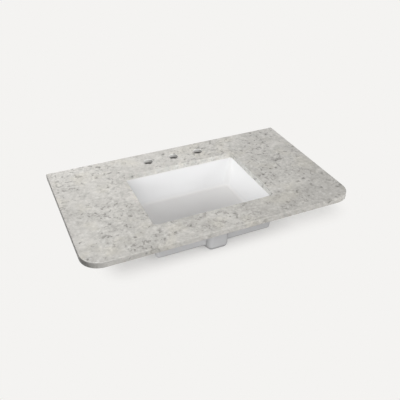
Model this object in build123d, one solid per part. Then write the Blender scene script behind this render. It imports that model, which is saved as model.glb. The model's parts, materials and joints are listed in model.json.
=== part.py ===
from build123d import *
import os

# A vanity sink top: a quartz slab with a rectangular china basin hung under its cut-out.
# Millimetres. +X is to the right, +Y towards the wall, +Z up. The origin is the middle of the
# slab's rear edge on its underside, where the wall and the top of the cabinet meet.

# Slab
SLAB_WIDTH = 940
SLAB_DEPTH = 559
SLAB_THICKNESS = 20
FRONT_CORNER_RADIUS = 64
TOP_ARRIS = 2.5
BOTTOM_ARRIS = 1

# Cut-out over the bowl
CUTOUT_WIDTH = 434
CUTOUT_DEPTH = 322
CUTOUT_TO_WALL = 128
CUTOUT_RADIUS = 12
CUTOUT_ARRIS = 1.5

# Faucet holes
FAUCET_HOLE_RADIUS = 17.5
FAUCET_HOLE_PITCH = 101.6
FAUCET_HOLE_COUNT = 3
FAUCET_HOLES_TO_WALL = 64
FAUCET_HOLE_ARRIS = 0.8

# Sealant between slab and basin, with a cove outside the flange
BEAD_THICKNESS = 2
BEAD_SETBACK = 0.5
BEAD_COVE = 4
BEAD_COVE_HEIGHT = 6

# Bowl: the slab overhangs its mouth, its walls lean in to the knee and its floor falls to the drain
MOUTH_OVERHANG = 2
MOUTH_RADIUS = 14
MOUTH_LIP_RADIUS = 2.5
SIDE_LEAN = 19
FRONT_LEAN = 16
KNEE_DEPTH = 108
KNEE_RADIUS = 18
FLOOR_CORNER_RADIUS = 34
FLOOR_FALL = 8

# Outside of the bowl, which is squarer than its inside
CHINA_WALL = 9
OUTER_SIDE_LEAN = 14
OUTER_FRONT_LEAN = 9
OUTER_KNEE_DEPTH = 116
OUTER_KNEE_RADIUS = 7
OUTER_CORNER_RADIUS = 12

# Flange of the basin
FLANGE_WIDTH = 36
FLANGE_THICKNESS = 12
FLANGE_CORNER_RADIUS = 30
FLANGE_EDGE_RADIUS = 3
FLANGE_ROOT_RADIUS = 6

# Drain outlet, a little in front of the bowl's middle
DRAIN_FORWARD = 17
DRAIN_RECESS_RADIUS = 31
DRAIN_RECESS_DEPTH = 3
DRAIN_RECESS_EDGE = 1
DRAIN_LAND = 4
THROAT_RADIUS = 22.25
THROAT_LENGTH = 36
BOSS_RADIUS = 39
BOSS_EDGE_RADIUS = 4

# Overflow: holes high in the front wall, a duct outside it and a channel under the floor
DUCT_WIDTH = 76
DUCT_PROJECTION = 24
DUCT_CORNER_RADIUS = 18
DUCT_TURN_RADIUS = 22
DUCT_TURN_DEPTH = 126
DUCT_WALL = 7
DUCT_TOP_DEPTH = 7
CHANNEL_HEIGHT = 11
CHANNEL_NOSE = 22
THROAT_SLOT_WIDTH = 20
OVERFLOW_HOLE_RADIUS = 5
OVERFLOW_HOLE_PITCH = 16
OVERFLOW_HOLE_COUNT = 3
OVERFLOW_HOLE_DROP = 24

# Clips that press the flange up against the slab
CLIP_SPREAD = 160
CLIP_THICKNESS = 2
CLIP_WIDTH = 20
CLIP_BITE = 14
CLIP_HEEL = 26
CLIP_BEND_RADIUS = 1.5
CLIP_TIP_RADIUS = 5
CLIP_SLOT_LENGTH = 15
CLIP_SLOT_WIDTH = 7

# Stud, and the insert that anchors it in the slab
STUD_OFFSET = 13
STUD_RADIUS = 3
STUD_LENGTH = 40
STUD_END_CHAMFER = 0.6
STUD_END_GAP = 1
INSERT_RADIUS = 5
INSERT_LENGTH = 12
INSERT_SLIT_WIDTH = 1
INSERT_SLIT_DEPTH = 6
INSERT_MOUTH_CHAMFER = 0.5
INSERT_HOLE_DEPTH = 13

# Washer and wing nut
WASHER_RADIUS = 8
WASHER_THICKNESS = 1.5
NUT_HUB_RADIUS = 6
NUT_HUB_END_RADIUS = 4.6
NUT_HUB_HEIGHT = 8
NUT_WING_SPAN = 28
NUT_WING_START = 1.5
NUT_WING_REACH = 13
NUT_WING_WIDTH = 6
NUT_WING_THICKNESS = 2.6
NUT_WING_TIP_RADIUS = 2.4

# Clearances, the overrun of cuts and how near two places are to count as one
THREAD_CLEARANCE = 0.05
HOLE_CLEARANCE = 0.1
WASHER_CLEARANCE = 0.3
OVERRUN = 5
TOUCH = 0.01

# Places that follow from the sizes
CUTOUT_Y = -CUTOUT_TO_WALL - CUTOUT_DEPTH / 2
MOUTH_WIDTH = CUTOUT_WIDTH + 2 * MOUTH_OVERHANG
MOUTH_DEPTH = CUTOUT_DEPTH + 2 * MOUTH_OVERHANG
FLANGE_OUTER_WIDTH = CUTOUT_WIDTH + 2 * FLANGE_WIDTH
FLANGE_OUTER_DEPTH = CUTOUT_DEPTH + 2 * FLANGE_WIDTH
FLANGE_TOP = -BEAD_THICKNESS
FLANGE_BOTTOM = FLANGE_TOP - FLANGE_THICKNESS
KNEE_Z = FLANGE_TOP - KNEE_DEPTH
OUTER_KNEE_Z = FLANGE_TOP - OUTER_KNEE_DEPTH
DRAIN_Y = CUTOUT_Y - DRAIN_FORWARD
DRAIN_Z = KNEE_Z - FLOOR_FALL
THROAT_TOP = DRAIN_Z - DRAIN_RECESS_DEPTH
BOSS_BOTTOM = THROAT_TOP - THROAT_LENGTH
CHANNEL_TOP = DRAIN_Z - CHINA_WALL
CHANNEL_FLOOR = CHANNEL_TOP - CHANNEL_HEIGHT
CLIP_BOTTOM = FLANGE_BOTTOM - CLIP_THICKNESS
NUT_TOP = CLIP_BOTTOM - WASHER_THICKNESS


def plan(width, depth, radius, y, z):
    """A level rounded rectangle on the part's middle line."""
    return Pos(0, y, z) * RectangleRounded(width, depth, radius)


def column(radius, height):
    """A cylinder that stands on its local origin."""
    return Cylinder(radius, height, align=(Align.CENTER, Align.CENTER, Align.MIN))


def row_places(count, pitch):
    """Where the members of a centred row lie."""
    return [(number - (count - 1) / 2) * pitch for number in range(count)]


def edges_at(shape, z):
    """The edges that lie level at one height."""
    return shape.edges().filter_by_position(Axis.Z, z - TOUCH, z + TOUCH)


def edges_within(edges, half_width, half_depth, y):
    """Of some edges, those whose middle lies within a level rectangle."""
    found = edges.filter_by_position(Axis.X, -half_width, half_width)
    return found.filter_by_position(Axis.Y, y - half_depth, y + half_depth)


def corner_near(face, x, y):
    """The corner of a flat outline that is nearest to a point."""
    return face.vertices().sort_by_distance((x, y, 0))[0]


def clip_places():
    """Where each clip meets the flange's edge, with local +X pointing away from the bowl."""
    side = FLANGE_OUTER_WIDTH / 2
    front = CUTOUT_Y - FLANGE_OUTER_DEPTH / 2
    rear = CUTOUT_Y + FLANGE_OUTER_DEPTH / 2
    return {
        "front_left": Pos(-CLIP_SPREAD, front, 0) * Rot(0, 0, -90),
        "front_right": Pos(CLIP_SPREAD, front, 0) * Rot(0, 0, -90),
        "rear_left": Pos(-CLIP_SPREAD, rear, 0) * Rot(0, 0, 90),
        "rear_right": Pos(CLIP_SPREAD, rear, 0) * Rot(0, 0, 90),
        "left": Pos(-side, CUTOUT_Y, 0) * Rot(0, 0, 180),
        "right": Pos(side, CUTOUT_Y, 0),
    }


def make_slab():
    outline = Pos(0, -SLAB_DEPTH / 2) * Rectangle(SLAB_WIDTH, SLAB_DEPTH)
    outline = fillet(outline.vertices().group_by(Axis.Y)[0], FRONT_CORNER_RADIUS)
    slab = extrude(outline, SLAB_THICKNESS)
    # the rear edge goes against the wall and is left square
    for z, radius in ((SLAB_THICKNESS, TOP_ARRIS), (0, BOTTOM_ARRIS)):
        exposed = edges_at(slab, z).filter_by_position(Axis.Y, -SLAB_DEPTH - TOUCH, -TOUCH - TOP_ARRIS)
        slab = fillet(exposed, radius)
    slab -= extrude(plan(CUTOUT_WIDTH, CUTOUT_DEPTH, CUTOUT_RADIUS, CUTOUT_Y, 0), SLAB_THICKNESS)
    rims = edges_at(slab, 0) + edges_at(slab, SLAB_THICKNESS)
    rims = edges_within(rims, CUTOUT_WIDTH / 2 + TOUCH, CUTOUT_DEPTH / 2 + TOUCH, CUTOUT_Y)
    slab = fillet(rims, CUTOUT_ARRIS)
    for x in row_places(FAUCET_HOLE_COUNT, FAUCET_HOLE_PITCH):
        slab -= Pos(x, -FAUCET_HOLES_TO_WALL, 0) * column(FAUCET_HOLE_RADIUS, SLAB_THICKNESS)
    rims = edges_at(slab, 0) + edges_at(slab, SLAB_THICKNESS)
    row_half_length = FAUCET_HOLE_COUNT * FAUCET_HOLE_PITCH / 2
    rims = edges_within(rims, row_half_length, FAUCET_HOLE_RADIUS, -FAUCET_HOLES_TO_WALL)
    slab = chamfer(rims.filter_by(GeomType.CIRCLE), FAUCET_HOLE_ARRIS)
    insert_hole = column(INSERT_RADIUS + HOLE_CLEARANCE, INSERT_HOLE_DEPTH)
    for place in clip_places().values():
        slab -= place * Pos(STUD_OFFSET, 0, 0) * insert_hole
    return slab


def make_bead():
    top = plan(
        FLANGE_OUTER_WIDTH + 2 * BEAD_COVE,
        FLANGE_OUTER_DEPTH + 2 * BEAD_COVE,
        FLANGE_CORNER_RADIUS + BEAD_COVE,
        CUTOUT_Y,
        0,
    )
    flange_outline = (FLANGE_OUTER_WIDTH, FLANGE_OUTER_DEPTH, FLANGE_CORNER_RADIUS, CUTOUT_Y)
    bead = loft([top, plan(*flange_outline, -BEAD_COVE_HEIGHT)], ruled=True)
    bead -= extrude(plan(*flange_outline, -BEAD_COVE_HEIGHT), BEAD_COVE_HEIGHT - BEAD_THICKNESS)
    hole = plan(
        MOUTH_WIDTH + 2 * BEAD_SETBACK,
        MOUTH_DEPTH + 2 * BEAD_SETBACK,
        MOUTH_RADIUS + BEAD_SETBACK,
        CUTOUT_Y,
        -BEAD_THICKNESS,
    )
    return bead - extrude(hole, BEAD_THICKNESS)


def bowl_form(grow, side_lean, front_lean, knee_z, corner_radius, knee_radius):
    """A tub that grows out of the mouth's outline, leans in to a knee and falls to the drain."""
    mouth_width = MOUTH_WIDTH + 2 * grow
    mouth_depth = MOUTH_DEPTH + 2 * grow
    low_size = 2 * (DRAIN_RECESS_RADIUS + DRAIN_LAND + grow)
    mouth = plan(mouth_width, mouth_depth, MOUTH_RADIUS + grow, CUTOUT_Y, FLANGE_TOP)
    knee_size = (mouth_width - 2 * side_lean, mouth_depth - 2 * front_lean)
    knee = plan(*knee_size, corner_radius, CUTOUT_Y, knee_z)
    low = plan(low_size, low_size, DRAIN_RECESS_RADIUS + grow, DRAIN_Y, DRAIN_Z - grow)
    form = loft([mouth, knee], ruled=True) + loft([knee, low], ruled=True)
    return fillet(edges_at(form, knee_z), knee_radius)


def bowl_room():
    """What the bowl holds."""
    return bowl_form(0, SIDE_LEAN, FRONT_LEAN, KNEE_Z, FLOOR_CORNER_RADIUS, KNEE_RADIUS)


def bowl_block():
    """The outside of the bowl, filled."""
    leans = (OUTER_SIDE_LEAN, OUTER_FRONT_LEAN)
    return bowl_form(CHINA_WALL, *leans, OUTER_KNEE_Z, OUTER_CORNER_RADIUS, OUTER_KNEE_RADIUS)


def front_wall_y(z):
    """Where the outside of the bowl's front wall lies at one height."""
    lean = OUTER_FRONT_LEAN * (FLANGE_TOP - z) / OUTER_KNEE_DEPTH
    return CUTOUT_Y - MOUTH_DEPTH / 2 - CHINA_WALL + lean


def duct_form(inset):
    """The overflow's duct and channel, or with an inset the hollow in them, filled in to the drain."""
    top = FLANGE_TOP - DUCT_TOP_DEPTH
    bottom = CHANNEL_FLOOR - DUCT_WALL
    turn = FLANGE_TOP - DUCT_TURN_DEPTH
    side = make_face(
        Polyline(
            (DRAIN_Y, top),
            (DRAIN_Y, bottom),
            (front_wall_y(turn) + CHANNEL_NOSE, bottom),
            (front_wall_y(turn) - DUCT_PROJECTION, turn),
            (front_wall_y(top) - DUCT_PROJECTION, top),
            close=True,
        )
    )
    side = fillet(side.vertices().sort_by(Axis.X)[1:3], DUCT_TURN_RADIUS)
    if inset:
        side = offset(side, -inset, kind=Kind.INTERSECTION)
    form = extrude(Plane.YZ * side, DUCT_WIDTH / 2 - inset, both=True)
    # the long edges of the front and the underside, not those at the drain or at the top
    long_edges = form.edges().filter_by(lambda edge: abs(edge.center().X) > TOUCH)
    long_edges = long_edges.filter_by(lambda edge: edge.center().Y < DRAIN_Y - inset - TOUCH)
    long_edges = long_edges.filter_by(lambda edge: edge.center().Z < top - inset - TOUCH)
    return fillet(long_edges, DUCT_CORNER_RADIUS - inset)


def basin_outside():
    """Bowl and flange before anything is hollowed out."""
    flange = extrude(
        plan(FLANGE_OUTER_WIDTH, FLANGE_OUTER_DEPTH, FLANGE_CORNER_RADIUS, CUTOUT_Y, FLANGE_BOTTOM),
        FLANGE_THICKNESS,
    )
    flange = fillet(edges_at(flange, FLANGE_BOTTOM), FLANGE_EDGE_RADIUS)
    body = bowl_block() + flange
    root = edges_within(
        edges_at(body, FLANGE_BOTTOM),
        MOUTH_WIDTH / 2 + CHINA_WALL,
        MOUTH_DEPTH / 2 + CHINA_WALL,
        CUTOUT_Y,
    )
    return fillet(root, FLANGE_ROOT_RADIUS)


def make_basin():
    boss_height = DRAIN_Z - BOSS_BOTTOM
    boss = Pos(0, DRAIN_Y, BOSS_BOTTOM) * column(BOSS_RADIUS, boss_height)
    boss = fillet(edges_at(boss, BOSS_BOTTOM), BOSS_EDGE_RADIUS)
    basin = basin_outside() + duct_form(0) + boss
    basin -= bowl_room()
    lip = edges_within(edges_at(basin, FLANGE_TOP), MOUTH_WIDTH / 2 + TOUCH, MOUTH_DEPTH / 2 + TOUCH, CUTOUT_Y)
    basin = fillet(lip, MOUTH_LIP_RADIUS)

    # the overflow's hollow stays clear of the bowl's wall and of the boss, but for a slot to the throat
    boss_core = Pos(0, DRAIN_Y, BOSS_BOTTOM) * column(BOSS_RADIUS, -BOSS_BOTTOM)
    basin -= duct_form(DUCT_WALL) - bowl_block() - boss_core
    slot_align = (Align.CENTER, Align.MAX, Align.MIN)
    slot = Box(THROAT_SLOT_WIDTH, BOSS_RADIUS + OVERRUN, CHANNEL_HEIGHT, align=slot_align)
    basin -= Pos(0, DRAIN_Y, CHANNEL_FLOOR) * slot
    hole_z = FLANGE_TOP - OVERFLOW_HOLE_DROP
    hole = Cylinder(OVERFLOW_HOLE_RADIUS, CHINA_WALL + 2 * OVERRUN, rotation=(90, 0, 0))
    for x in row_places(OVERFLOW_HOLE_COUNT, OVERFLOW_HOLE_PITCH):
        basin -= Pos(x, front_wall_y(hole_z) + CHINA_WALL / 2, hole_z) * hole

    recess = Pos(0, DRAIN_Y, THROAT_TOP) * column(DRAIN_RECESS_RADIUS, DRAIN_RECESS_DEPTH + OVERRUN)
    basin -= recess
    rim = edges_at(basin, DRAIN_Z).filter_by(GeomType.CIRCLE).sort_by(SortBy.LENGTH)[-1]
    basin = fillet(rim, DRAIN_RECESS_EDGE)
    throat = column(THROAT_RADIUS, THROAT_LENGTH + 2 * OVERRUN)
    return basin - Pos(0, DRAIN_Y, BOSS_BOTTOM - OVERRUN) * throat


def make_clip_bracket():
    """A bent strip: its foot lies under the flange, its heel stands against the slab."""
    side = make_face(
        Polyline(
            (-CLIP_BITE, FLANGE_BOTTOM),
            (CLIP_HEEL - CLIP_THICKNESS, FLANGE_BOTTOM),
            (CLIP_HEEL - CLIP_THICKNESS, 0),
            (CLIP_HEEL, 0),
            (CLIP_HEEL, CLIP_BOTTOM),
            (-CLIP_BITE, CLIP_BOTTOM),
            close=True,
        )
    )
    side = fillet(corner_near(side, CLIP_HEEL - CLIP_THICKNESS, FLANGE_BOTTOM), CLIP_BEND_RADIUS)
    side = fillet(corner_near(side, CLIP_HEEL, CLIP_BOTTOM), CLIP_BEND_RADIUS + CLIP_THICKNESS)
    bracket = extrude(Plane.XZ * side, CLIP_WIDTH / 2, both=True)
    tip = bracket.edges().filter_by(Axis.Z).group_by(Axis.X)[0]
    bracket = fillet(tip, CLIP_TIP_RADIUS)
    slot = extrude(SlotOverall(CLIP_SLOT_LENGTH, CLIP_SLOT_WIDTH), CLIP_THICKNESS)
    return bracket - Pos(STUD_OFFSET, 0, CLIP_BOTTOM) * slot


def make_clip_insert():
    """A split sleeve, flush with the slab's underside."""
    insert = column(INSERT_RADIUS, INSERT_LENGTH)
    insert -= column(STUD_RADIUS + THREAD_CLEARANCE, INSERT_LENGTH)
    mouth = edges_at(insert, 0).sort_by(SortBy.LENGTH)[0]
    insert = chamfer(mouth, INSERT_MOUTH_CHAMFER)
    slit_align = (Align.CENTER, Align.CENTER, Align.MAX)
    for turn in (0, 90):
        slit = Box(2 * INSERT_RADIUS + OVERRUN, INSERT_SLIT_WIDTH, INSERT_SLIT_DEPTH, align=slit_align)
        insert -= Pos(0, 0, INSERT_LENGTH) * Rot(0, 0, turn) * slit
    return Pos(STUD_OFFSET, 0, 0) * insert


def make_clip_stud():
    stud = column(STUD_RADIUS, STUD_LENGTH)
    stud = chamfer(stud.edges().filter_by(GeomType.CIRCLE), STUD_END_CHAMFER)
    return Pos(STUD_OFFSET, 0, INSERT_LENGTH - STUD_END_GAP - STUD_LENGTH) * stud


def make_clip_washer():
    washer = column(WASHER_RADIUS, WASHER_THICKNESS)
    washer -= column(STUD_RADIUS + WASHER_CLEARANCE, WASHER_THICKNESS)
    return Pos(STUD_OFFSET, 0, NUT_TOP) * washer


def make_clip_wing_nut():
    """A cone-shaped hub under the washer with two wings that point down and out."""
    hub_align = (Align.CENTER, Align.CENTER, Align.MAX)
    nut = Cone(NUT_HUB_END_RADIUS, NUT_HUB_RADIUS, NUT_HUB_HEIGHT, align=hub_align)
    tip = NUT_WING_SPAN / 2
    for side in (-1, 1):
        wing = make_face(
            Polyline(
                (0, -NUT_WING_START),
                (side * tip, NUT_WING_WIDTH - NUT_WING_REACH),
                (side * tip, -NUT_WING_REACH),
                (side * (tip - NUT_WING_WIDTH), -NUT_WING_REACH),
                (0, -NUT_HUB_HEIGHT),
                close=True,
            )
        )
        for corner in ((tip, NUT_WING_WIDTH - NUT_WING_REACH), (tip, -NUT_WING_REACH)):
            wing = fillet(corner_near(wing, side * corner[0], corner[1]), NUT_WING_TIP_RADIUS)
        nut += extrude(Plane.XZ * wing, NUT_WING_THICKNESS / 2, both=True)
    nut -= Pos(0, 0, -NUT_WING_REACH) * column(STUD_RADIUS + THREAD_CLEARANCE, NUT_WING_REACH)
    return Pos(STUD_OFFSET, 0, NUT_TOP) * nut


def make_parts():
    parts = {
        "stone_slab": make_slab(),
        "sealant_bead": make_bead(),
        "basin": make_basin(),
    }
    clip_pieces = {
        "clip_bracket": make_clip_bracket(),
        "clip_insert": make_clip_insert(),
        "clip_stud": make_clip_stud(),
        "clip_washer": make_clip_washer(),
        "clip_wing_nut": make_clip_wing_nut(),
    }
    for place_name, place in clip_places().items():
        for piece_name, piece in clip_pieces.items():
            parts[f"{piece_name}_{place_name}"] = place * piece
    return parts


os.makedirs("parts", exist_ok=True)
for name, shape in make_parts().items():
    export_step(shape, f"parts/{name}.step")
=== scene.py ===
import json
import math

import bmesh
import bpy
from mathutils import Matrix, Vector


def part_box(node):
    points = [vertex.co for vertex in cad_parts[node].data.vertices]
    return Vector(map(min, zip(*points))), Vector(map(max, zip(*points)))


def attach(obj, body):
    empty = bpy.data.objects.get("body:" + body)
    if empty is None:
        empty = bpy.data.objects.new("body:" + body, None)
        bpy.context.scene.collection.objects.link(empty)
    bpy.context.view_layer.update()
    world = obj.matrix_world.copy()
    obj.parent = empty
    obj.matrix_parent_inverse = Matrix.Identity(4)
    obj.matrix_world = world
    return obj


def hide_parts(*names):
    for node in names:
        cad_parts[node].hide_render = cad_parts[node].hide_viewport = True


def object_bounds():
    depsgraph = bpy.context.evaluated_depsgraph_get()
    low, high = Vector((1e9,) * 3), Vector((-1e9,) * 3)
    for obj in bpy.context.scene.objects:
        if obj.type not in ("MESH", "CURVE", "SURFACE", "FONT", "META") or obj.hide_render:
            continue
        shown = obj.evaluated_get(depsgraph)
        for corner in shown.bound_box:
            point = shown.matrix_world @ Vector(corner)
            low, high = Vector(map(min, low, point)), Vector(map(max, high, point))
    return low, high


# A vanity sink top, dressed: polished mottled quartz, a glazed china basin, sealant and metal clips.
# Metres. +X is to the right, +Y towards the wall, +Z up, as in the frame.

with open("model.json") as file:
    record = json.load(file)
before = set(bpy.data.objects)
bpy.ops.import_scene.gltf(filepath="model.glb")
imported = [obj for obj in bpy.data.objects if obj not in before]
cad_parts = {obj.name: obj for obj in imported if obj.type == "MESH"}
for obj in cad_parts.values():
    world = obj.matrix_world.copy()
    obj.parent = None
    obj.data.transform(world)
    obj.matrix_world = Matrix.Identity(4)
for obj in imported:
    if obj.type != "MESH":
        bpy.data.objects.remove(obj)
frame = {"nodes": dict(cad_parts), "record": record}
cad_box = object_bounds()
nodes = frame["nodes"]
mounts = {mount["name"]: mount for mount in frame["record"]["mounts"]}

MM = 0.001

# The photograph's camera
CAMERA_PLACE = (-0.63118, -1.73257, 1.01975)
CAMERA_TURN = 24.03
CAMERA_DOWN = 34.0
CAMERA_LENS = 47.79
SENSOR_WIDTH = 36.0

# Colours as linear values: the studio, then each finish
BACKGROUND = (0.905, 0.896, 0.880, 1)
ROOM_WHITE = (1, 1, 1, 1)

STONE_DARK = (0.268, 0.258, 0.238, 1)
STONE_LIGHT = (0.740, 0.722, 0.686, 1)
STONE_WARMTH = (0.975, 0.955, 0.885, 1)
SMUDGE = (0.23, 0.222, 0.205, 1)
SMUDGE_HEART = (0.11, 0.105, 0.095, 1)
VEIN = (0.10, 0.095, 0.085, 1)
FINE_VEIN = (0.19, 0.183, 0.168, 1)
DARK_FLECK = (0.105, 0.10, 0.09, 1)
PALE_FLECK = (0.76, 0.755, 0.73, 1)
# painted light on the faucet holes' walls, and painted shade low in them
RAW_STONE_AND_BORE_LIGHT = (0.74, 0.735, 0.715, 1)
HOLE_PAINTED_SHADE = (0.075, 0.065, 0.055, 1)
# painted shade on the arrises, and a painted highlight on the holes' rims
ARRIS_PAINTED_SHADE = (0.33, 0.32, 0.30, 1)
RIM_PAINTED_HIGHLIGHT = (0.86, 0.86, 0.84, 1)

GLAZE = (0.738, 0.738, 0.742, 1)
GREYER_GLAZE = (0.722, 0.724, 0.728, 1)
# painted shade outside and under the basin
OUTSIDE_PAINTED_SHADE = (0.545, 0.543, 0.548, 1)
UNDERSIDE_PAINTED_SHADE = (0.28, 0.278, 0.28, 1)
# painted shade in the basin's creases
CREASE_PAINTED_SHADE = (0.64, 0.638, 0.634, 1)
# painted warm bounce light on the basin's floor
FLOOR_GLAZE_WARM_BOUNCE = (0.732, 0.716, 0.700, 1)
GLAZE_SPECK = (0.42, 0.37, 0.30, 1)
BISCUIT = (0.70, 0.665, 0.60, 1)

SILICONE = (0.70, 0.70, 0.68, 1)
MILKY_SILICONE = (0.84, 0.84, 0.82, 1)
BLUE_ZINC = (0.60, 0.62, 0.66, 1)
STRAW_ZINC = (0.70, 0.66, 0.55, 1)
SCRATCHED_ZINC = (0.42, 0.42, 0.43, 1)
BRIGHT_BRASS = (0.80, 0.61, 0.29, 1)
TARNISHED_BRASS = (0.46, 0.32, 0.14, 1)

# How strongly each bends light
QUARTZ_IOR = 1.52
GLAZE_IOR = 1.5
SILICONE_IOR = 1.41

# The fine veins and the pale flecks are taken from elsewhere in the block than the dark ones
FINE_VEIN_SHIFT = (2.3, 0.6, 1.1)
PALE_FLECK_SHIFT = (3.1, 1.7, 0.4)

# The saw's marks under the slab, and their slant
SAW_MARKS_PER_METRE = 420
SAW_SLANT = 0.08

# A faucet hole's wall is darkest with painted shade over this height from its foot, and has none over
# this depth from its head
HOLE_SHADE_FOOT = 4 * MM
HOLE_SHADE_HEAD = 8 * MM

# How far the ground biscuit reaches and where the glaze is whole: above the boss's end face,
# below the flange's top and outside the drain's bore
END_GROUND = 0.3 * MM
END_GLAZED = 0.8 * MM
RIM_GROUND = 0.2 * MM
RIM_GLAZED = 0.5 * MM
BORE_GROUND = 0.35 * MM
BORE_GLAZED = 1.15 * MM

# Half the floor's side
FLOOR_HALF = 30

# The floor's shadow: how strongly it is lifted, how far inside the slab's outline its middle ends,
# how far it then fades, and how far it is pushed to the right and to the rear
SHADOW_LIFT = 0.30
SHADOW_INSET = 0.075
SHADOW_FADE = 0.11
SHADOW_PUSH = (0.095, 0.095)

# What the floor throws back up, and the room's own light
FLOOR_BOUNCE = 0.11
ROOM_LIGHT = 0.05

# Soft boxes: degrees round the part from the front, degrees up, distance, width, watts.
# The slab, the floor and what hangs below the slab each have their own, which light nothing
# else. Those for what hangs below, and the slab's fills, show in no gloss. Those at 100 and 180
# degrees light the sides that the photograph's camera doesn't see.
CHINA_BOXES = [
    (-32, 27, 2.1, 1.5, 33.5),
    (8, 28, 2.1, 0.8, 15),
    (76, 27, 1.7, 0.6, 10),
    (-90, 20, 1.9, 0.8, 25),
    (170, 40, 1.6, 0.6, 2),
    (100, 3, 2.0, 0.4, 8),
    (180, 3, 2.0, 0.4, 12),
]
STONE_BOXES = [
    (6, 33, 2.1, 1.4, 32),
    (-150, 60, 2.0, 0.8, 16),
    (-117, 68, 1.1, 0.6, 3.4),
]
STONE_FILLS = [
    (25, 10, 2.0, 0.8, 15),
    (100, 12, 2.0, 0.8, 4.5),
    (180, 10, 2.0, 0.8, 6),
]
FLOOR_BOXES = [
    (-32, 27, 2.1, 1.5, 32),
    (8, 28, 2.1, 0.8, 15),
    (76, 27, 1.7, 0.6, 10),
    (-90, 20, 1.9, 0.8, 8),
    (170, 40, 1.6, 0.6, 3),
]

# Cards low in the bowl: how far each stands to the right and to the rear of the middle and above
# the flange's top, the degrees that it is turned from facing the wall, and watts
CARDS = [
    ((-0.10, -0.03, -0.03), -90, 0.24),
    ((-0.04, -0.10, -0.03), 0, 0.08),
]
CARD_SIZE = (0.08, 0.04)
CARD_SPREAD = 100
CARD_COLOUR = (0.93, 0.98, 1.0)

# The studs' screw thread, and one turn of its outline as shares of pitch and depth
THREAD_PITCH = 1 * MM
THREAD_DEPTH = 0.61 * MM
THREAD_STEPS = 16
THREAD_OUTLINE = [(0, 0), (0.125, 0), (0.55, 1), (0.7, 1)]

# Points of a stud nearer than this are one, and edges sharper than so many degrees stay sharp
STUD_WELD = 0.02 * MM
STUD_SHARP_ANGLE = 40

# Sizes of the part that its finishes, floor and lamps follow
slab_low, slab_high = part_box("stone_slab")
slab_half_depth = (slab_high.y - slab_low.y) / 2
basin_low, basin_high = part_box("basin")
basin_middle_y = (basin_low.y + basin_high.y) / 2
part_middle = (cad_box[0] + cad_box[1]) / 2


class Wire:
    """A shader socket. Python's arithmetic on it adds Math nodes."""

    def __init__(self, finish, socket):
        self.finish = finish
        self.socket = socket

    def maths(self, operation, *values, clamp=False):
        settings = {"operation": operation, "use_clamp": clamp}
        inputs = {index: value for index, value in enumerate(values)}
        return self.finish.add("Math", settings, inputs).wire()

    def __add__(self, other):
        return self.maths("ADD", self, other)

    def __radd__(self, other):
        return self.maths("ADD", other, self)

    def __sub__(self, other):
        return self.maths("SUBTRACT", self, other)

    def __rsub__(self, other):
        return self.maths("SUBTRACT", other, self)

    def __mul__(self, other):
        return self.maths("MULTIPLY", self, other)

    def __rmul__(self, other):
        return self.maths("MULTIPLY", other, self)

    def __pow__(self, other):
        return self.maths("POWER", self, other)

    def __neg__(self):
        return self.maths("MULTIPLY", self, -1)

    def __abs__(self):
        return self.maths("ABSOLUTE", self)

    def clamped(self):
        return self.maths("ADD", self, 0, clamp=True)

    def at_most(self, other):
        return self.maths("MINIMUM", self, other)

    def at_least(self, other):
        return self.maths("MAXIMUM", self, other)

    def part_of_turn(self):
        """Its fraction, for what repeats along a length."""
        return self.maths("FRACT", self)

    def rise(self, low, high):
        """From 0 to 1, smoothly, as the value goes from low to high."""
        inputs = {"Value": self, "From Min": low, "From Max": high}
        return self.finish.add("MapRange", {"interpolation_type": "SMOOTHSTEP"}, inputs).wire("Result")

    def fall(self, low, high):
        """From 1 to 0, smoothly, as the value goes from low to high."""
        return 1 - self.rise(low, high)


class Node:
    """A node of a finish, whose outputs are taken by name."""

    def __init__(self, finish, node):
        self.finish = finish
        self.node = node

    def wire(self, name=0):
        return Wire(self.finish, self.node.outputs[name])


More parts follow.
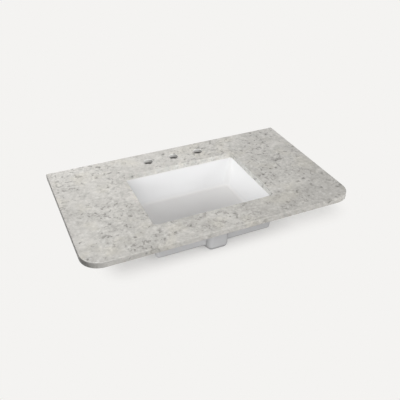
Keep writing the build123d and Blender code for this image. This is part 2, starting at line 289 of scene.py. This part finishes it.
class Finish:
    """A node tree: a material's or the world's."""

    def __init__(self, owner):
        self.owner = owner
        owner.use_nodes = True
        self.tree = owner.node_tree
        self.tree.nodes.clear()

    def add(self, kind, settings=None, inputs=None):
        """A new node: its settings first, then the values or wires of its sockets."""
        node = self.tree.nodes.new("ShaderNode" + kind)
        for name, value in (settings or {}).items():
            setattr(node, name, value)
        for name, value in (inputs or {}).items():
            if isinstance(value, Wire):
                self.tree.links.new(value.socket, node.inputs[name])
            else:
                node.inputs[name].default_value = value
        return Node(self, node)

    def place(self):
        """Where a point lies on the part, in metres."""
        return self.add("TexCoord").wire("Object")

    def parts_of(self, vector):
        """The three numbers of a vector."""
        split = self.add("SeparateXYZ", {}, {"Vector": vector})
        return [split.wire(name) for name in "XYZ"]

    def facing(self):
        """The surface's direction as three numbers."""
        return self.parts_of(self.add("NewGeometry").wire("Normal"))

    def moved(self, vector, offset):
        return self.add("VectorMath", {"operation": "ADD"}, {0: vector, 1: offset}).wire()

    def stretched(self, vector, scale):
        return self.add("VectorMath", {"operation": "MULTIPLY"}, {0: vector, 1: scale}).wire()

    def noise(self, vector, scale, detail=2.0, roughness=0.5, distortion=0.0, name="Fac"):
        inputs = {
            "Vector": vector,
            "Scale": scale,
            "Detail": detail,
            "Roughness": roughness,
            "Distortion": distortion,
        }
        return self.add("TexNoise", {"noise_dimensions": "3D"}, inputs).wire(name)

    def cells(self, vector, scale):
        """Distance to the nearest cell's middle, and two random numbers of that cell."""
        cell = self.add("TexVoronoi", {"feature": "F1"}, {"Vector": vector, "Scale": scale})
        random = self.add("SeparateColor", {}, {"Color": cell.wire("Color")})
        return cell.wire("Distance"), random.wire("Red"), random.wire("Green")

    def seams(self, vector, scale):
        """Distance to the nearest wall between cells, as a share of a cell."""
        inputs = {"Vector": vector, "Scale": scale}
        return self.add("TexVoronoi", {"feature": "DISTANCE_TO_EDGE"}, inputs).wire("Distance")

    def warped(self, vector, scale, reach):
        """Places pushed about by a slow noise."""
        push = self.noise(vector, scale, detail=3.0, name="Color")
        push = self.moved(push, (-0.5, -0.5, -0.5))
        return self.moved(vector, self.stretched(push, (reach, reach, reach)))

    def mix(self, factor, first, second, blend="MIX"):
        """Colours from first to second."""
        inputs = {0: factor, 6: first, 7: second}
        settings = {"data_type": "RGBA", "blend_type": blend, "clamp_factor": True}
        return self.add("Mix", settings, inputs).wire(2)

    def bump(self, height, depth, strength=1.0):
        inputs = {"Height": height, "Distance": depth, "Strength": strength}
        return self.add("Bump", {}, inputs).wire("Normal")

    def surface(self, inputs):
        """The one shader of a plain material, linked to its output."""
        shader = self.add("BsdfPrincipled", {}, inputs).wire("BSDF")
        self.add("OutputMaterial", {}, {"Surface": shader})
        return self.owner


def new_finish(name):
    return Finish(bpy.data.materials.new(name))


def grey(level):
    return (level, level, level, 1)


def away_from(mount_name, x, y):
    """How far a point lies from a mount's middle, seen from above."""
    middle_x, middle_y = mounts[mount_name]["pos_m"][:2]
    return ((x - middle_x) ** 2 + (y - middle_y) ** 2) ** 0.5


def radius_of(mount_name):
    return mounts[mount_name]["dims"]["r_mm"] * MM


def stone_ground(finish, place):
    """The block's clouds, blotches and crystals: their colour, the mottle and the crystals' gloss."""
    x, y, _ = finish.parts_of(place)
    soft_place = finish.warped(place, 11, 0.035)
    clouds = finish.noise(soft_place, 6.5, detail=3.0)
    blotches = finish.noise(soft_place, 30, detail=5.0, roughness=0.66, distortion=0.6)
    mottle = finish.noise(place, 95, detail=4.0, roughness=0.7)
    _, crystal_tone, crystal_gloss = finish.cells(place, 260)

    tone = (clouds - 0.5) * 0.42 + (blotches - 0.5) * 0.90 + (mottle - 0.5) * 0.65
    tone = tone + (crystal_tone - 0.5) * 0.05
    # painted light: the slab is made lighter towards its rear left corner, where the light falls more
    # strongly
    tone = tone + (y - slab_low.y - slab_half_depth) * 0.48 - x * 0.19 + 0.015
    base = finish.mix((tone + 0.5).clamped(), STONE_DARK, STONE_LIGHT)
    warmth = finish.noise(soft_place, 13, detail=2.0).rise(0.50, 0.68)
    base = finish.mix(warmth * 0.45, base, STONE_WARMTH, "MULTIPLY")
    return base, mottle, crystal_gloss


def stone_figure(finish, place, base):
    """Flecks, smudges and short dark veins, laid over the colour of the block."""
    # veins run along the seams between lumps, in broken lengths and in some patches only
    lump_place = finish.warped(finish.warped(place, 26, 0.034), 110, 0.010)
    seams = finish.seams(lump_place, 27)
    small_seams = finish.seams(finish.moved(lump_place, FINE_VEIN_SHIFT), 58)
    patches = finish.noise(place, 8, detail=2.0)
    breaks = finish.noise(place, 55, detail=3.0, roughness=0.6)
    veins = seams.fall(0.03, 0.20) * breaks.rise(0.51, 0.61) * patches.rise(0.38, 0.58)
    fine_veins = small_seams.fall(0.04, 0.24) * (1 - breaks).rise(0.47, 0.61) * patches.rise(0.30, 0.60)

    # soft smudges with darker hearts
    smudge_noise = finish.noise(finish.warped(place, 40, 0.02), 46, detail=5.0, roughness=0.70)
    smudges = smudge_noise.rise(0.52, 0.66)
    hearts = smudge_noise.rise(0.61, 0.70)

    # flecks sit in a few of the cells
    fleck_place = finish.warped(place, 80, 0.016)
    fleck_distance, fleck_chance, _ = finish.cells(fleck_place, 38)
    flecks = fleck_distance.fall(0.08, 0.34) * fleck_chance.rise(0.82, 0.95)
    pale_distance, pale_chance, _ = finish.cells(finish.moved(fleck_place, PALE_FLECK_SHIFT), 50)
    pale_flecks = pale_distance.fall(0.14, 0.45) * pale_chance.rise(0.60, 0.82)

    base = finish.mix(pale_flecks * 0.25, base, PALE_FLECK)
    base = finish.mix(smudges * 0.30, base, SMUDGE)
    base = finish.mix(hearts * 0.68, base, SMUDGE_HEART)
    base = finish.mix(fine_veins * 0.25, base, FINE_VEIN)
    base = finish.mix(veins * (0.52 + smudges * 0.30), base, VEIN)
    return finish.mix(flecks * 0.66, base, DARK_FLECK)


def polished_quartz():
    """Light warm grey stone, cut through as a block and polished, but raw underneath and in its holes."""
    finish = new_finish("polished_quartz")
    place = finish.place()
    facing = finish.facing()
    x, y, z = finish.parts_of(place)
    base, mottle, crystal_gloss = stone_ground(finish, place)
    base = stone_figure(finish, place, base)

    # the underside is sawn and unpolished, and the insides of the faucet holes are as drilled
    underside = (-facing[2]).rise(0.7, 0.9)
    upright = abs(facing[2]).fall(0.2, 0.6)
    sloped = (1 - upright) * (1 - underside) * facing[2].fall(0.88, 0.95)
    off_left, off_middle, off_right = [
        away_from("faucet_hole_" + side, x, y) for side in ("left", "middle", "right")
    ]
    off_hole = off_left.at_most(off_middle).at_most(off_right)
    hole_radius = radius_of("faucet_hole_middle")
    bored = off_hole.fall(hole_radius * 1.02, hole_radius * 1.04) * upright
    rim_highlights = off_hole.fall(hole_radius * 1.06, hole_radius * 1.09) * sloped
    raw = underside.at_least(bored)
    # raw stone is paler; the faucet holes' walls are made paler still, painted light
    base = finish.mix(raw * 0.35 + bored * 0.45, base, RAW_STONE_AND_BORE_LIGHT)
    # painted shade: the lower part of a hole's wall is made dark
    hole_shade = bored * z.fall(slab_low.z + HOLE_SHADE_FOOT, slab_high.z - HOLE_SHADE_HEAD)
    base = finish.mix(hole_shade * 0.85, base, HOLE_PAINTED_SHADE)
    # painted shade makes an arris a little darker against the light it catches, and a painted highlight
    # makes a hole's rim pale
    base = finish.mix(sloped * 0.45, base, ARRIS_PAINTED_SHADE)
    base = finish.mix(rim_highlights * 0.8, base, RIM_PAINTED_HIGHLIGHT)

    # the hand polish leaves edges and arrises duller than the top
    hand_polish = upright * 0.25 + sloped * 0.20
    saw_marks = ((x + y * SAW_SLANT) * SAW_MARKS_PER_METRE).part_of_turn() * underside
    roughness = 0.17 + (mottle - 0.5) * 0.06 + crystal_gloss * 0.03 + hand_polish + raw * 0.42
    height = (mottle - 0.5) * (0.06 + raw * 0.5) + saw_marks * 0.25
    return finish.surface({
        "Base Color": base,
        "Roughness": roughness,
        "IOR": QUARTZ_IOR,
        "Normal": finish.bump(height, 0.35 * MM, 0.35),
    })


def glazed_china():
    """White glaze with a slight waviness, painted shade outside and underneath, and bare biscuit where it
    was ground.
    """
    finish = new_finish("glazed_china")
    place = finish.place()
    facing = finish.facing()
    x, y, z = finish.parts_of(place)
    sway = finish.noise(place, 16, detail=2.0)
    peel = finish.noise(place, 120, detail=2.0)
    biscuit = finish.noise(place, 900, detail=2.0)

    # the boss's end face, the flange's top and the drain's bore are ground
    outlet_radius = radius_of("drain_outlet")
    ground_end = z.fall(basin_low.z + END_GROUND, basin_low.z + END_GLAZED)
    ground_rim = z.rise(basin_high.z - RIM_GLAZED, basin_high.z - RIM_GROUND) * facing[2].rise(0.8, 0.95)
    in_bore = away_from("drain_outlet", x, y).fall(outlet_radius + BORE_GROUND, outlet_radius + BORE_GLAZED)
    bore_wall = in_bore * abs(facing[2]).fall(0.3, 0.6)
    bare = ground_end.at_least(ground_rim).at_least(bore_wall * 0.7)

    # painted shade: outside the bowl the glaze is made greyer, and darkest where the form turns under
    outward = facing[0] * x + facing[1] * (y - basin_middle_y)
    outside = outward.rise(0.0, 0.03).at_least((-facing[2]).rise(0.05, 0.3))
    white = finish.mix((sway - 0.5) * 1.2 + 0.5, GREYER_GLAZE, GLAZE)
    white = finish.mix(outside * 0.9, white, OUTSIDE_PAINTED_SHADE)
    white = finish.mix((-facing[2]).rise(0.05, 0.50) * 0.8, white, UNDERSIDE_PAINTED_SHADE)

    # painted shade: the glaze is made a little greyer in the creases of the bowl
    level = (facing[0] ** 2 + facing[1] ** 2) ** 0.5
    corners = abs(facing[0] * facing[1]).rise(0.08, 0.5)
    crease_shade = corners.at_least((facing[2] * level).rise(0.1, 0.5) * 0.45) * (1 - outside)
    white = finish.mix(crease_shade * 0.8, white, CREASE_PAINTED_SHADE)
    # painted light: the glaze facing up is tinted warmer, a painted warm bounce on the bowl's floor
    white = finish.mix(facing[2].rise(0.5, 0.9) * 0.6, white, FLOOR_GLAZE_WARM_BOUNCE)

    # a few specks show through it
    speck_distance, speck_chance, _ = finish.cells(place, 95)
    specks = speck_distance.fall(0.03, 0.07) * speck_chance.rise(0.982, 0.99)
    white = finish.mix(specks * 0.35, white, GLAZE_SPECK)
    white = finish.mix(bare, white, BISCUIT)

    roughness = 0.295 + (sway - 0.5) * 0.06 + outside * 0.12 + bare * 0.35
    height = (sway - 0.5) * (1 - bare) + (peel - 0.5) * 0.12 + (biscuit - 0.5) * bare * 0.4
    return finish.surface({
        "Base Color": white,
        "Roughness": roughness,
        "IOR": GLAZE_IOR,
        "Normal": finish.bump(height, 0.5 * MM, 0.5),
    })


def cured_silicone():
    """Milky sealant, smoothed by a finger."""
    finish = new_finish("cured_silicone")
    place = finish.place()
    smears = finish.noise(finish.stretched(place, (1, 1, 4)), 45, detail=3.0)
    dimples = finish.noise(place, 400, detail=2.0)
    colour = finish.mix(smears, SILICONE, MILKY_SILICONE)
    height = (smears - 0.5) + (dimples - 0.5) * 0.15
    return finish.surface({
        "Base Color": colour,
        "Roughness": 0.34 + smears * 0.16,
        "IOR": SILICONE_IOR,
        "Normal": finish.bump(height, 0.6 * MM, 0.6),
    })


def zinc_plated_steel():
    """Bright zinc with a faint straw and blue bloom and rolled scratches."""
    finish = new_finish("zinc_plated_steel")
    place = finish.place()
    bloom = finish.noise(place, 70, detail=3.0)
    scratches = finish.noise(finish.stretched(place, (1, 1, 9)), 700, detail=3.0)
    colour = finish.mix(bloom.rise(0.35, 0.65), BLUE_ZINC, STRAW_ZINC)
    colour = finish.mix(scratches.rise(0.55, 0.75) * 0.3, colour, SCRATCHED_ZINC)
    return finish.surface({
        "Base Color": colour,
        "Metallic": 1.0,
        "Roughness": 0.26 + bloom * 0.14 + (scratches - 0.5) * 0.12,
        "Normal": finish.bump(scratches, 0.05 * MM, 0.4),
    })


def plain_brass():
    """Cast and turned brass, a little tarnished."""
    finish = new_finish("plain_brass")
    place = finish.place()
    grain = finish.noise(place, 900, detail=3.0)
    tarnish = finish.noise(place, 110, detail=4.0, roughness=0.65).rise(0.42, 0.72)
    colour = finish.mix(tarnish * 0.7, BRIGHT_BRASS, TARNISHED_BRASS)
    return finish.surface({
        "Base Color": colour,
        "Metallic": 1.0,
        "Roughness": 0.25 + tarnish * 0.22 + (grain - 0.5) * 0.15,
        "Normal": finish.bump(grain, 0.12 * MM, 0.5),
    })


def dress_nodes():
    """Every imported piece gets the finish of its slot."""
    finishes = {
        "quartz": polished_quartz(),
        "glazed_china": glazed_china(),
        "silicone": cured_silicone(),
        "zinc_steel": zinc_plated_steel(),
        "brass": plain_brass(),
    }
    for subpart in frame["record"]["subparts"]:
        piece = nodes[subpart["node"]]
        material = finishes[subpart["material_slot"]]
        if not piece.material_slots:
            piece.data.materials.append(material)
        for slot in piece.material_slots:
            slot.material = material
    return finishes


def thread_rows(radius, length):
    """Rows of points that climb round a rod with a screw thread, level where they reach its ends."""
    rows = []
    for turn in range(-1, math.ceil(length / THREAD_PITCH) + 1):
        for share, depth in THREAD_OUTLINE:
            row = []
            for step in range(THREAD_STEPS):
                height = (turn + share + step / THREAD_STEPS) * THREAD_PITCH
                height = min(max(height, 0), length)
                from_end = min(height, length - height)
                # the thread starts in the rod's chamfer
                reach = radius - max(depth * THREAD_DEPTH, THREAD_DEPTH - from_end)
                angle = 2 * math.pi * step / THREAD_STEPS
                row.append(Vector((reach * math.cos(angle), reach * math.sin(angle), height)))
            rows.append(row)
    return rows


def threaded_stud(node, material):
    """A stud with its screw thread, in the space of its plain CAD cylinder."""
    low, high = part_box(node)
    foot = Vector(((low.x + high.x) / 2, (low.y + high.y) / 2, low.z))
    shape = bmesh.new()
    rows = []
    for row in thread_rows((high.x - low.x) / 2, high.z - low.z):
        rows.append([shape.verts.new(foot + point) for point in row])
    for row, above in zip(rows, rows[1:]):
        for step in range(THREAD_STEPS - 1):
            shape.faces.new((row[step], row[step + 1], above[step + 1], above[step]))
    # each row goes on in the row one turn higher
    turn = len(THREAD_OUTLINE)
    for row, above, onward, onward_above in zip(rows, rows[1:], rows[turn:], rows[turn + 1:]):
        shape.faces.new((row[-1], onward[0], onward_above[0], above[-1]))
    bmesh.ops.remove_doubles(shape, verts=shape.verts, dist=STUD_WELD)
    rim_highlights = [edge for edge in shape.edges if edge.is_boundary]
    bmesh.ops.holes_fill(shape, edges=rim_highlights, sides=0)
    bmesh.ops.recalc_face_normals(shape, faces=shape.faces)
    mesh = bpy.data.meshes.new("threaded_" + node)
    shape.to_mesh(mesh)
    shape.free()
    mesh.shade_smooth()
    mesh.set_sharp_from_angle(angle=math.radians(STUD_SHARP_ANGLE))
    mesh.materials.append(material)
    stud = bpy.data.objects.new("threaded_" + node, mesh)
    bpy.context.scene.collection.objects.link(stud)
    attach(stud, "root")
    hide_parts(node)
    return stud


def make_studs(finishes):
    for subpart in frame["record"]["subparts"]:
        if subpart["node"].startswith("clip_stud_"):
            stud = threaded_stud(subpart["node"], finishes[subpart["material_slot"]])


def seen_directly(finish):
    """1 for the camera's own rays, and for those that gloss or glass sends on."""
    path = finish.add("LightPath")
    direct = path.wire("Is Camera Ray").at_least(path.wire("Is Glossy Ray"))
    return direct.at_least(path.wire("Is Transmission Ray"))


def make_floor():
    """A pale floor at the part's lowest point that keeps its shadow and fades into the background."""
    sides = [(-1, -1), (1, -1), (1, 1), (-1, 1)]
    corners = [(right * FLOOR_HALF, rear * FLOOR_HALF, 0) for right, rear in sides]
    mesh = bpy.data.meshes.new("floor")
    mesh.from_pydata(corners, [], [(0, 1, 2, 3)])
    floor = bpy.data.objects.new("floor", mesh)
    floor.location = (part_middle.x, part_middle.y, cad_box[0].z)
    bpy.context.scene.collection.objects.link(floor)

    finish = new_finish("pale_floor")
    across, back, _ = finish.parts_of(finish.place())
    # how far a point lies from the shadow's middle, which has the slab's shape
    beyond_x = (abs(across - SHADOW_PUSH[0]) - (slab_high.x - SHADOW_INSET)).at_least(0)
    beyond_y = (abs(back - SHADOW_PUSH[1]) - (slab_half_depth - SHADOW_INSET)).at_least(0)
    away = (beyond_x ** 2 + beyond_y ** 2) ** 0.5
    shaded = finish.add("BsdfDiffuse", {}, {"Color": BACKGROUND}).wire()
    plain = finish.add("Emission", {}, {"Color": BACKGROUND}).wire()
    fade = SHADOW_LIFT + (1 - SHADOW_LIFT) * away.rise(0, SHADOW_FADE)
    shown = finish.add("MixShader", {}, {0: fade, 1: shaded, 2: plain}).wire()
    bounce = finish.add("BsdfDiffuse", {}, {"Color": grey(FLOOR_BOUNCE)}).wire()
    both = finish.add("MixShader", {}, {0: seen_directly(finish), 1: bounce, 2: shown}).wire()
    finish.add("OutputMaterial", {}, {"Surface": both})
    mesh.materials.append(finish.owner)
    return floor


def make_world():
    """The background for the camera and for gloss, and a dim room for all other light."""
    world = bpy.data.worlds.new("studio")
    bpy.context.scene.world = world
    finish = Finish(world)
    room = finish.add("Background", {}, {"Color": ROOM_WHITE, "Strength": ROOM_LIGHT}).wire()
    paper = finish.add("Background", {}, {"Color": BACKGROUND, "Strength": 1}).wire()
    both = finish.add("MixShader", {}, {0: seen_directly(finish), 1: room, 2: paper}).wire()
    finish.add("OutputWorld", {}, {"Surface": both})


def make_soft_boxes(boxes, lit, glossy=True):
    """Soft boxes that light only the given pieces, seen in their gloss or not."""
    chosen = bpy.data.collections.new("lit_pieces")
    for piece in lit:
        chosen.objects.link(piece)
    middle = Vector((0, part_middle.y, 0))
    for turn, height, distance, width, watts in boxes:
        lamp = bpy.data.lights.new("soft_box", "AREA")
        lamp.shape = "SQUARE"
        lamp.size = width
        lamp.energy = watts
        turn, height = math.radians(turn), math.radians(height)
        level = math.cos(height)
        way = Vector((math.sin(turn) * level, -math.cos(turn) * level, math.sin(height)))
        box = bpy.data.objects.new("soft_box", lamp)
        box.location = middle + way * distance
        box.rotation_mode = "QUATERNION"
        box.rotation_quaternion = way.to_track_quat("Z", "Y")
        box.light_linking.receiver_collection = chosen
        box.visible_glossy = glossy
        bpy.context.scene.collection.objects.link(box)


def make_bowl_cards():
    """Pale cards low in the bowl that light the walls of the slab's cut-out."""
    chosen = bpy.data.collections.new("lit_by_cards")
    chosen.objects.link(nodes["stone_slab"])
    middle = Vector((0, basin_middle_y, basin_high.z))
    for place, turn, watts in CARDS:
        lamp = bpy.data.lights.new("bowl_card", "AREA")
        lamp.shape = "RECTANGLE"
        lamp.size, lamp.size_y = CARD_SIZE
        lamp.color = CARD_COLOUR
        lamp.energy = watts
        lamp.spread = math.radians(CARD_SPREAD)
        card = bpy.data.objects.new("bowl_card", lamp)
        card.location = middle + Vector(place)
        card.rotation_euler = (math.radians(90), 0, math.radians(turn))
        card.visible_camera = False
        card.visible_glossy = False
        card.light_linking.receiver_collection = chosen
        bpy.context.scene.collection.objects.link(card)


def make_camera():
    camera = bpy.data.cameras.new("camera")
    camera.sensor_width = SENSOR_WIDTH
    camera.lens = CAMERA_LENS
    holder = bpy.data.objects.new("camera", camera)
    holder.location = CAMERA_PLACE
    holder.rotation_euler = (math.radians(90 - CAMERA_DOWN), 0, math.radians(-CAMERA_TURN))
    bpy.context.scene.collection.objects.link(holder)
    bpy.context.scene.camera = holder


make_studs(dress_nodes())
slab = nodes["stone_slab"]
floor = make_floor()
below = [piece for piece in bpy.context.scene.objects if piece.type == "MESH" and piece not in (slab, floor)]
make_world()
make_bowl_cards()
make_soft_boxes(STONE_BOXES, [slab])
make_soft_boxes(STONE_FILLS, [slab], glossy=False)
make_soft_boxes(CHINA_BOXES, below, glossy=False)
make_soft_boxes(FLOOR_BOXES, [floor])
make_camera()
bpy.context.scene.view_settings.view_transform = "Standard"
